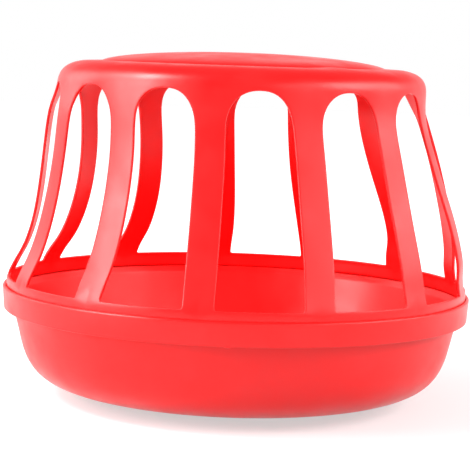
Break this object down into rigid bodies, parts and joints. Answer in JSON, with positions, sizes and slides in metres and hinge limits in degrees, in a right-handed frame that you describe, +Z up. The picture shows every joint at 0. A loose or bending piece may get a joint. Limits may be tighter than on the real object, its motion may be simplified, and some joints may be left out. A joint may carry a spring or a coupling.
{
  "type": "poultry feeder",
  "caption": "Round pan feeder for poultry: a deep feed pan, a flared cover with arched feeding windows, and a domed lid over its filling hole.",
  "frame": {"origin": "centre of the ring-shaped foot, on the plane that the feeder stands on", "axes": "+Z up along the axis of the feeder; one bar of the grille faces -Y and one window faces +Y"},
  "size_m": [0.3198, 0.32, 0.2363],
  "materials": {
    "pan_plastic": "semi-gloss injection-moulded red polypropylene",
    "grille_plastic": "semi-gloss injection-moulded red polypropylene",
    "lid_plastic": "semi-gloss injection-moulded red polypropylene"
  },
  "bodies": {
    "pan": {"feed_pan": "pan_plastic"},
    "grille": {"grille_cover": "grille_plastic"},
    "lid": {"lid": "lid_plastic"}
  },
  "joints": [
    {"name": "grille_lift", "type": "slide", "parent": "pan", "child": "grille", "axis": [0, 0, 1], "range_m": [0, 0.12]},
    {"name": "lid_lift", "type": "slide", "parent": "grille", "child": "lid", "axis": [0, 0, 1], "range_m": [0, 0.08]}
  ]
}
